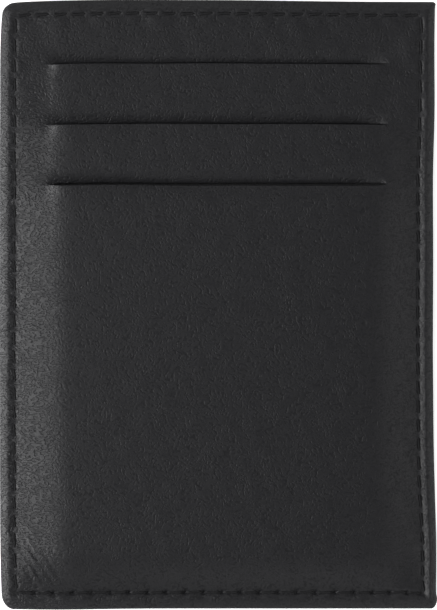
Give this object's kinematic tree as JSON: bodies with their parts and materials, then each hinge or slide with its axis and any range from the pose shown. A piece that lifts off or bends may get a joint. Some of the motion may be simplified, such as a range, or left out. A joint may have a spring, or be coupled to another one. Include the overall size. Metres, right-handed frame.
{
  "type": "card holder",
  "caption": "Slim vertical card holder in soft black pebbled leather, with slit pockets for upright cards on the front and an open-topped middle compartment.",
  "frame": {"origin": "on the surface that the card holder lies on, under the middle of its back face", "axes": "+X across its width, +Y up its height towards the slits, +Z out of its front face; the holder lies on its back"},
  "size_m": [0.075, 0.105, 0.0059],
  "materials": {
    "leather": "soft black pebbled leather, satin",
    "lining": "fine black woven lining",
    "thread": "black sewing thread"
  },
  "bodies": {
    "root": {"front_panel": "leather", "back_panel": "leather", "front_lining": "lining", "back_lining": "lining", "pocket_1_rear_leaf": "lining", "pocket_1_front_leaf": "lining", "pocket_1_seam_thread": "thread", "pocket_2_rear_leaf": "lining", "pocket_2_front_leaf": "lining", "pocket_2_seam_thread": "thread", "pocket_3_rear_leaf": "lining", "pocket_3_front_leaf": "lining", "pocket_3_seam_thread": "thread", "front_edge_thread": "thread", "back_edge_thread": "thread"}
  },
  "joints": []
}
